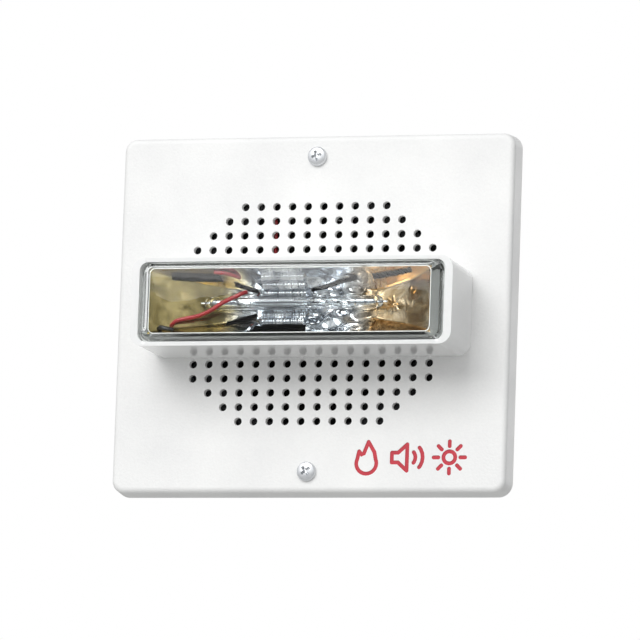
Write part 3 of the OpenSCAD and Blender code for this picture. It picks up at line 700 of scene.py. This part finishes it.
# Varnished winding: warm and glossy, with the turns of wire under the varnish
amber = grained(
    "Amber varnished winding", "#b9822c", "#8f5f1c", 0.5, (0.25, 0.4), 0.03, 3, Coat_Weight=0.5
)[0]
profile = [(0, -20.7), (4, -20.7), (4, -20.1), (3.4, -20.1)]
profile += [(3.4 + 0.12 * abs(math.sin(k * math.pi / 2)), -20.1 + 3.9 * k / 26) for k in range(27)]
profile += [(3.4, -16.2), (4, -16.2), (4, -15.6), (0, -15.6)]
winding = turned(profile, (14, 0, 0))
shape("trigger_coil_winding", winding, amber, "root", ["trigger_coil"], 30)
# Moulding compound: near-black with a dry sandy surface
black_resin = grained("Moulded black epoxy", "#1d1e20", "#292a2c", 0.35, (0.45, 0.6), 0.015, 4)[0]
dress("lamp_board_parts", black_resin, 0.3)

# ---- sounder ----
# A moving-coil driver plays the alarm tone through the grille. A foam ring seals its rim,
# and a pressed basket carries the magnet. The paper cone and its cap move with the coil.
# Foam: open cells swallow the light
foam = grained("Open-cell black foam", "#1c1c1e", "#101012", 0.35, (0.85, 0.95), 0.12, 4)[0]
dress("driver_gasket", foam)
# Coated pressing: satin black that keeps the grille's holes dark
e_coat = grained(
    "Black coated steel", "#26272a", "#1e1f21", 0.4, (0.35, 0.5), 0.01, 9, Coat_Weight=0.2
)[0]
dress("driver_basket", e_coat, 0.2)
# Plated yoke: mid grey metal with a soft shine
pole_metal = grained(
    "Zinc plated yoke", "#c3c6c9", "#a2a6aa", 0.5, (0.28, 0.42), 0.01, 6, Metallic=1.0
)[0]
dress(["driver_top_plate", "driver_pole_plate"], pole_metal, 0.35)
# Ferrite: a dark ceramic, dull and slightly chalky
ferrite = grained("Fired ferrite", "#2b2c30", "#35363a", 0.4, (0.5, 0.68), 0.03, 5)[0]
dress("driver_magnet", ferrite, 0.5)

cone_front, cone_back = [], []
for k in range(41):
    t = k / 40
    rr = 6.9 + (33.2 - 6.9) * t
    y = 5.2 + (-1.9 - 5.2) * t - 0.12 * abs(math.sin(rr * math.pi / 3.2)) * (0 < k < 40)
    cone_front.append((rr, y))
    cone_back.append((rr, y + 0.42))
cone = cone_front + [(33.6, -2.6), (34.6, -2.6), (34.6, -2.1), (33.9, -1.5)] + cone_back[::-1]
# Paper pulp: fibrous and matt
pulp = grained("Pressed paper cone", "#2a2723", "#1d1b18", 0.3, (0.75, 0.9), 0.05, 8)[0]
shape("cone", turned(cone, n=128, closed=True), pulp, "moving_coil", ["driver_cone"], 40)
cap = [(0.01, -1.5)]
for k in range(1, 21):
    rise = (math.cos(k / 20) - math.cos(1.0)) / (1 - math.cos(1.0))
    cap.append((11 * math.sin(k / 20) / math.sin(1.0), 4.28 - 5.75 * rise))
cap += [(q, y + 0.3) for q, y in cap[::-1]]
# Doped cloth: black with a faint woven tooth
cap_cloth = grained("Doped black cloth", "#1a1a1b", "#242425", 0.25, (0.5, 0.65), 0.05, 6)[0]
dome = turned(cap, n=96, closed=True)
shape("dust_cap", dome, cap_cloth, "moving_coil", ["driver_dust_cap"], 40)
# Enamelled copper: red-brown metal with a tight row of glints along its turns
copper = grained(
    "Enamelled copper wire", "#b8642f", "#8f4a20", 0.4, (0.2, 0.32), 0.01, 2, Metallic=1.0
)[0]
coil = [(6.6, 3.6), (6.9, 3.6), (6.9, 15.2)]
coil += [(7.0 + 0.2 * abs(math.sin(k * math.pi / 2)), 15.2 + 4 * k / 24) for k in range(25)]
coil += [(6.6, 19.2)]
shape("coil", turned(coil, n=96, closed=True), copper, "moving_coil", ["voice_coil"], 40)
roll = [(34.7 + 3.75 * k / 24, -2.55 - 0.75 * math.sin(math.pi * k / 24) ** 0.8) for k in range(25)]
roll += [(q, y + 0.28) for q, y in roll[::-1]]
half_roll = turned(roll, n=128, closed=True)
shape("surround", half_roll, cap_cloth, "root", ["driver_surround"], 50)
wave = [(6.95 + 22.4 * k / 112, 10.25 + 0.27 * math.sin(k * math.pi / 4)) for k in range(113)]
wave += [(q, y + 0.33) for q, y in wave[::-1]]
# Stiffened cloth: amber, matt and coarsely woven
spider_cloth = grained("Amber phenolic cloth", "#c29a52", "#a98343", 0.3, (0.6, 0.75), 0.05, 5)[0]
ripples = turned(wave, n=128, closed=True)
shape("spider", ripples, spider_cloth, "root", ["driver_spider"], 50)
# Phenolic: tan board with a dry sheen
phenolic = grained("Tan phenolic board", "#a98255", "#96703f", 0.5, (0.45, 0.6), 0.01, 4)[0]
dress("driver_tags", phenolic, 0.15)

# ---- circuit board, posts and screws ----
# The main board hangs behind the driver on four brass hexagon posts with plated screws.
# Green solder mask covers it and pale tracks run between its parts.
dress("circuit_board", mask_green)
# Brass: warm yellow metal with fine turning marks
brass = grained("Turned brass", "#c9a253", "#ad8539", 0.3, (0.2, 0.34), 0.008, 3, Metallic=1.0)[0]
dress("board_standoffs", brass, 0.25)
corners = [(sx * 36, sz * 35.5) for sx in (-1, 1) for sz in (-1, 1)]
heads = [
    screw(x, z, 33.6, 1, 2.8, 1.85, math.radians(20 + 33 * k), cross_depth, 1.27, 27)
    for k, (x, z) in enumerate(corners)
]
shape("board_pan_screws", joined(*heads), zinc, "root", ["board_screws"], 30)

# ---- terminals ----
# Four rising-cage terminals take the field wires. Turning a screw draws its cage back
# against a brass bar. The housing is one green moulding.
# Polyamide: green with a faint moulded texture
terminal_green = grained("Green polyamide", "#2c7350", "#256445", 0.5, (0.35, 0.5), 0.015, 6)[0]
dress("terminal_block", terminal_green)
dress("terminal_bars", brass, 0.1)
for k in range(4):
    x = (k - 1.5) * 9.5
    slotted = screw(x, -27, 43.75, 1, 2.15, 1.7, math.radians(25 * (k + 1)), slot_depth, 1.4, 39.6)
    name = f"terminal_screw_{k + 1}"
    shape(f"slotted_screw_{k + 1}", slotted, zinc, name, [name], 30)
dress([f"terminal_clamp_{k}" for k in (1, 2, 3, 4)], bright_metal, 0.15)

# ---- transformer, choke and capacitor ----
# The transformer has a stack of thin core plates and a taped winding on a bobbin.
# The choke is a ferrite drum wound with copper. The flash capacitor lies along the board.


def brick(low, high, edge):
    """A block with broken edges, given by two corners in mm."""
    w, h = high[0] - low[0], high[2] - low[2]
    cx, cz = (low[0] + high[0]) / 2, (low[2] + high[2]) / 2
    rings = []
    for y, cut in ((low[1], 1), (low[1] + edge * 0.3, 0.4), (low[1] + edge, 0)):
        rings.append(loop(w - 2 * edge * cut, h - 2 * edge * cut, edge, y, cx, cz, 3))
    for y, cut in ((high[1] - edge, 0), (high[1] - edge * 0.3, 0.4), (high[1], 1)):
        rings.append(loop(w - 2 * edge * cut, h - 2 * edge * cut, edge, y, cx, cz, 3))
    return skin(rings)


# Core steel: bluish grey edges of many thin plates
steel = grained("Blued core steel", "#7d8188", "#5f636a", 0.6, (0.32, 0.48), 0.01, 5, Metallic=1.0)[0]
plates = [brick((-35, 33.65, 11.5 + k * 0.5), (-7, 47.6, 11.94 + k * 0.5), 0.1) for k in range(18)]
plates.append(brick((-34.8, 33.8, 11.6), (-7.2, 47.4, 20.4), 0.1))
shape("core_plates", joined(*plates), steel, "root", ["transformer_core"], 40)
# Polyester tape: glossy yellow with slight wrinkles
tape = grained(
    "Yellow polyester tape", "#d8ae2c", "#c99c1f", 1.0, (0.2, 0.3), 0.03, 5, Coat_Weight=0.4
)[0]
# Bobbin nylon: cream and slightly waxy
bobbin = grained("Cream bobbin nylon", "#e6dfc8", "#d8cfb4", 0.6, (0.4, 0.55), 0.01, 4)[0]
lobes, flanges = [], []
for z0, z1 in ((6.7, 11.4), (20.6, 25.3)):
    lobes.append(brick((-30.4, 36.1, z0), (-11.6, 45.1, z1), 1.1))
    lobes.append(brick((-27, 35.9, z0 - 0.15), (-15, 45.3, z1), 0.9))
    flanges.append(brick((-31.5, 35.2, z0 - 0.2), (-30.4, 46, z1), 0.3))
    flanges.append(brick((-11.6, 35.2, z0 - 0.2), (-10.5, 46, z1), 0.3))
shape("taped_winding", joined(*lobes), tape, "root", ["transformer_coil"], 40)
shape("bobbin_flanges", joined(*flanges), bobbin, "root", ["transformer_coil"], 40)
drum = [(0, 33.6), (6.6, 33.6), (6.6, 34.8), (5.2, 34.8)]
drum += [(5.05 + 0.3 * abs(math.sin(k * math.pi / 4)), 34.8 + 7.4 * k / 52) for k in range(53)]
drum += [(5.2, 42.2), (6.6, 42.2), (6.6, 43.2), (6.3, 43.4), (2.2, 43.4), (2.0, 42.9), (0, 42.9)]
choke = shape("wound_choke", turned(drum, (8, 0, 16)), copper, "root", ["power_choke"], 30)
choke.data.materials.append(ferrite)
for face in choke.data.polygons:
    if abs(face.center.y - 0.0385) > 0.0036:
        face.material_index = 1
can = [(0, -10), (5.4, -10), (6.2, -9.8), (6.5, -9.2), (6.5, 17.6), (6.3, 18), (5.95, 18.6)]
can += [(5.95, 19.1), (6.3, 19.7), (6.5, 20.1), (6.5, 21.4), (6.2, 21.9), (5.7, 22.1)]
can += [(5.6, 21.8), (5.55, 21.9), (0, 21.9)]
# Shrunk sleeve: dark blue film with a printed silver stripe down one side
sleeve, tree, surface = grained(
    "Shrunk dark sleeve", "#23283a", "#1c2030", 1.0, (0.22, 0.32), 0.008, 8, Coat_Weight=0.3
)
place = add(tree, "ShaderNodeTexCoord")
axes = add(tree, "ShaderNodeSeparateXYZ", {}, {}, {0: (place, "Object")})
across = add(tree, "ShaderNodeMath", {"operation": "COMPARE"}, {1: 0.0325, 2: 0.0013}, {0: (axes, "X")})
back_half = add(tree, "ShaderNodeMath", {"operation": "GREATER_THAN"}, {1: 0.0402}, {0: (axes, "Y")})
band = add(tree, "ShaderNodeMath", {"operation": "MULTIPLY"}, {}, {0: (across, 0), 1: (back_half, 0)})
before = surface.inputs["Base Color"].links[0].from_node
stripe = add(
    tree,
    "ShaderNodeMix",
    {"data_type": "RGBA"},
    {7: linear("#c9ccd2")},
    {0: (band, 0), 6: (before, 2)},
)
tree.links.new(stripe.outputs[2], surface.inputs["Base Color"])
body = turned(can, (29, 40.2, 0), "z")
shape("capacitor_can", body, sleeve, "root", ["flash_capacitor"], 30)
lid = turned([(0, 22.0), (5.3, 22.0), (5.2, 22.3), (0, 22.3)], (29, 40.2, 0), "z", 64)
vents = [brick((28.8, 36, 22.2), (29.2, 44.4, 22.5), 0.1)]
vents.append(brick((24.8, 40, 22.2), (33.2, 40.4, 22.5), 0.1))
shape("capacitor_lid", joined(lid, *vents), pole_metal, "root", [], 30)

# ---- small board parts ----
# A driver chip with gull-wing legs, two film capacitors, diodes and resistors stand on the
# board in drilled holes, each with tinned legs bent down to the copper.
# Tin: pale grey metal with a soft dip-coated shine
tinned = grained(
    "Tinned copper leg", "#c7c9cc", "#a8abb0", 0.3, (0.25, 0.4), 0.004, 2, Metallic=1.0
)[0]
bodies = [brick((-5.6, 33.95, -5.9), (5.6, 36.0, -2.1), 0.25)]
bodies.append(brick((-33, 33.7, -9), (-27.5, 38.2, -6), 0.5))
bodies.append(brick((-24, 33.7, -9), (-16, 42.1, -4.5), 0.5))
legs = []
for k in range(8):
    x = -4.9 + 1.4 * k
    for z, out in ((-5.9, -1), (-2.1, 1)):
        bends = [(34.9, 0), (34.9, 0.35), (33.8, 0.55), (33.75, 0.62)]
        route = [(x, y, z + out * reach) for y, reach in bends]
        legs.append(sweep(curve(route, 3), 0.16, 6))
diodes, bands, ink = [], [], []


def axial(a, b, r):
    """A part with a rounded body between two points, with a leg bent down at each end."""
    (ax, az), (bx, bz) = a, b
    along = "z" if ax == bx else "x"
    p, q = (az, bz) if along == "z" else (ax, bx)
    centre = (ax, 33.7 + r, 0) if along == "z" else (0, 33.7 + r, az)
    length = q - p
    spots = ((0.0, 0.5), (0.04, 0.9), (0.1, 1.0), (0.22, 1.0), (0.3, 0.88), (0.7, 0.88), (0.78, 1.0))
    profile = [(0, p + length * 0.12)]
    profile += [(r * wide, p + length * (0.12 + 0.76 * t)) for t, wide in spots]
    profile += [(r, p + length * 0.804), (r * 0.9, p + length * 0.85)]
    profile += [(r * 0.5, p + length * 0.88), (0, p + length * 0.88)]
    body = turned(profile, centre, along, 32)
    y = centre[1]
    start = [(ax, 33.62, az), (ax, y - 0.2, az), (ax, y, az)]
    end = [(bx, y, bz), (bx, y - 0.2, bz), (bx, 33.62, bz)]
    return body, sweep(start + end, 0.2, 8)


for x in (11.2, 15.2, 19.2):
    body, leg = axial((x, -2.9), (x, 2.9), 1.0)
    diodes.append(body)
    legs.append(leg)
    bands.append(turned([(1.01, 1.5), (1.01, 2.0)], (x, 34.7, 0), "z", 32))
resistors = []
for z in (-13.1, -16.5):
    body, leg = axial((-13.9, z), (-5.1, z), 0.95)
    resistors.append(body)
    legs.append(leg)
    for k, at in enumerate((-11.9, -10.6, -9.4, -7.3)):
        q = 0.96 if k in (0, 3) else 0.87
        ink.append((k, turned([(q, at), (q, at + 0.45)], (0, 34.65, z), "x", 32)))
shape("black_parts", joined(*bodies, *diodes), black_resin, "root", ["board_parts"], 35)
shape("legs", joined(*legs), tinned, "root", ["board_parts"], 60)
# Silver ink: the pale cathode band on each diode
silver_ink = grained("Silver ink", "#c9cbcd", "#b8babd", 0.4, (0.35, 0.5), 0.0, 2)[0]
shape("diode_bands", joined(*bands), silver_ink, "root", [], 60)
# Lacquer: smooth blue enamel under four thin colour bands
blue_lacquer = grained(
    "Blue lacquer", "#4a78b8", "#3d68a4", 0.4, (0.25, 0.38), 0.01, 2, Coat_Weight=0.3
)[0]
shape("resistors", joined(*resistors), blue_lacquer, "root", [], 60)
for k, code in enumerate(("#7a4a26", "#1c1c1d", "#c8472c", "#b99a3c")):
    ring = grained(f"Resistor band ink {k + 1}", code, code, 0.4, (0.3, 0.4), 0.0, 2)[0]
    stripes = joined(*[band for place, band in ink if place == k])
    shape(f"resistor_bands_{k + 1}", stripes, ring, "root", [], 60)
# Dipped epoxy: a thick glossy skin with soft lumps
orange_dip = grained(
    "Orange dipped epoxy", "#b5482c", "#9c3c24", 0.6, (0.2, 0.32), 0.05, 3, Coat_Weight=0.6
)[0]
films = [brick((-4, 33.9, z), (2.5, 39.1, z + 2.6), 1.0) for z in (24, 30)]
shape("film_capacitors", joined(*films), orange_dip, "root", [], 50)

# ---- setting switches ----
# A slide sets the strobe's brightness and a slotted knob sets the sounder's level.
# Both sit in small black switch bodies on the board.
# Filled nylon: dark grey, with the dry look that glass fibre gives
black_switch = grained("Black glass-filled nylon", "#232427", "#2d2e31", 0.4, (0.4, 0.55), 0.015, 4)[0]
dress(["candela_switch", "level_switch"], black_switch, 0.25)
# Acetal: dense and slightly slippery looking, in white and in orange
white_knob = grained("White acetal", "#efeeea", "#e4e2db", 0.5, (0.3, 0.42), 0.008, 3)[0]
dress("candela_slider", white_knob, 0.2)
orange_knob = grained("Orange acetal", "#e07a1f", "#cf6a14", 0.5, (0.3, 0.42), 0.01, 3)[0]
dress("level_knob", orange_knob, 0.2)

# ---- leads ----
# Two leads run from a white plug on the board, over the driver's edge and down behind the
# grille to the strobe. Two shorter ones join the board to the driver's tags.
dress("lead_connector", nylon, 0.25)
routes = {
    "strobe_lead_red": [
        (-17, 37, 35), (-17.2, 37.4, 40), (-17.4, 35.5, 43.4), (-17.4, 30, 43.6), (-17.4, 12, 43.6),
        (-17.4, 1, 43.6), (-17.4, -3, 43.4), (-17.4, -5.2, 41.4), (-17.3, -5.5, 38.4), (-15.9, -5.5, 35),
        (-15.2, -5.5, 31.6), (-15.2, -5.5, 26), (-15, -5.5, 14), (-14.7, -5.2, 8), (-14.5, -5.3, 5.2),
        (-14.3, -7, 3.9), (-14.2, -10, 4), (-14.2, -13.9, 4),
    ],
    "strobe_lead_black": [
        (-20, 37, 35), (-20, 37.4, 40), (-20, 35.5, 43.4), (-20, 30, 43.6), (-20, 12, 43.6),
        (-20, 1, 43.6), (-20, -3, 43.4), (-20.2, -5.2, 41.4), (-21, -5.5, 37), (-22, -5.5, 31),
        (-22.5, -5.5, 24), (-22.5, -5.5, 12), (-22.4, -5.2, 8), (-22.3, -5.3, 5.2), (-22.1, -7, 3.9),
        (-22, -10, 4), (-22, -13.9, 4),
    ],
    "sounder_lead_red": [
        (14, 31.9, 30), (14, 29.5, 30), (13.6, 26.5, 30.5), (12.2, 21, 31.4), (10.8, 16, 31.3),
        (10.1, 13, 31), (10, 11.2, 31), (10, 9.43, 31),
    ],
    "sounder_lead_black": [
        (19, 31.9, 30), (19, 29.5, 30), (18.6, 26.5, 30.5), (17.4, 21, 31.2), (15.8, 16, 31.2),
        (15.1, 13, 31), (15, 11.2, 31), (15, 9.43, 31),
    ],
}
for name, route in routes.items():
    red = name.endswith("red")
    wire = sweep(curve(route), 0.79)
    shape(name.replace("lead", "wire"), wire, red_pvc if red else black_pvc, "root", [name], 60)

# ---- room, light and camera ----
# A pale floor lies well below. A large soft lamp stands high in front on the left, a second
# one lights the back, and the camera stands to the right and a little below.
floor_mesh = bpy.data.meshes.new("floor")
floor_mesh.from_pydata([(-5, -5, -1.0), (5, -5, -1.0), (5, 5, -1.0), (-5, 5, -1.0)], [], [(0, 1, 2, 3)])
floor = bpy.data.objects.new("floor", floor_mesh)
bpy.context.scene.collection.objects.link(floor)
floor_mesh.materials.append(plain("Pale studio floor", "#d8d8d7", Roughness=0.8)[0])
floor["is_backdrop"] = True

# The room is brightest in a wide ring round the front and dim straight ahead, behind and
# below, so clear and mirror faces show dark as well as light. The camera sees it plain white.
world = bpy.data.worlds.new("Studio")
bpy.context.scene.world = world
world.use_nodes = True
tree = world.node_tree
place = add(tree, "ShaderNodeTexCoord")
axes = add(tree, "ShaderNodeSeparateXYZ", {}, {}, {0: (place, "Generated")})
front = add(
    tree,
    "ShaderNodeMapRange",
    {},
    {"From Min": 0.2, "From Max": -0.8, "To Min": 0.22, "To Max": 1.15},
    {"Value": (axes, "Y")},
)
low = add(
    tree,
    "ShaderNodeMapRange",
    {},
    {"From Min": -0.45, "From Max": 0.1, "To Min": 0.05, "To Max": 1.0},
    {"Value": (axes, "Z")},
)
head_on = add(
    tree,
    "ShaderNodeMapRange",
    {},
    {"From Min": -0.97, "From Max": -0.8, "To Min": 0.22, "To Max": 1.0},
    {"Value": (axes, "Y")},
)
sides = add(tree, "ShaderNodeMath", {"operation": "MULTIPLY"}, {}, {0: (front, 0), 1: (low, 0)})
strength = add(tree, "ShaderNodeMath", {"operation": "MULTIPLY"}, {}, {0: (sides, 0), 1: (head_on, 0)})
path = add(tree, "ShaderNodeLightPath")
room = add(tree, "ShaderNodeBackground", {}, {"Color": linear("#f3f4f6")}, {"Strength": (strength, 0)})
sheet = add(tree, "ShaderNodeBackground", {}, {"Color": (1, 1, 1, 1), "Strength": 1.0})
mixed = add(
    tree, "ShaderNodeMixShader", {}, {}, {0: (path, "Is Camera Ray"), 1: (room, 0), 2: (sheet, 0)}
)
tree.links.new(mixed.outputs[0], tree.nodes["World Output"].inputs["Surface"])

centre = Vector((0, -0.01, 0))
for name, place_at, size, power in (
    ("Key", (-0.4, -1.85, 1.0), 1.3, 27),
    ("Rear", (0.5, 1.7, 0.35), 1.0, 13),
):
    lamp = bpy.data.lights.new(name, "AREA")
    lamp.size, lamp.energy = size, power
    obj = bpy.data.objects.new(name, lamp)
    obj.location = place_at
    obj.rotation_mode = "QUATERNION"
    obj.rotation_quaternion = (centre - Vector(place_at)).to_track_quat("-Z", "Y")
    bpy.context.scene.collection.objects.link(obj)
    obj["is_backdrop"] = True

turn, rise, reach = math.radians(15.9), math.radians(-8.9), 2.1
away = Vector((math.sin(turn) * math.cos(rise), -math.cos(turn) * math.cos(rise), math.sin(rise)))
camera = bpy.data.cameras.new("Camera")
camera.lens, camera.sensor_width = 339.6, 36
camera.clip_start, camera.clip_end = 0.05, 20
eye = bpy.data.objects.new("Camera", camera)
aim = Vector((0.0029, -0.009, -0.00235))
eye.rotation_mode = "QUATERNION"
eye.rotation_quaternion = (-away).to_track_quat("-Z", "Y") @ Quaternion((0, 0, 1), math.radians(2.0))
eye.location = aim + away * reach
bpy.context.scene.collection.objects.link(eye)
bpy.context.scene.camera = eye
bpy.context.scene.view_settings.view_transform = "Standard"

size = {"cad": [list(c) for c in cad_box], "shown": [list(c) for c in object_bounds()]}
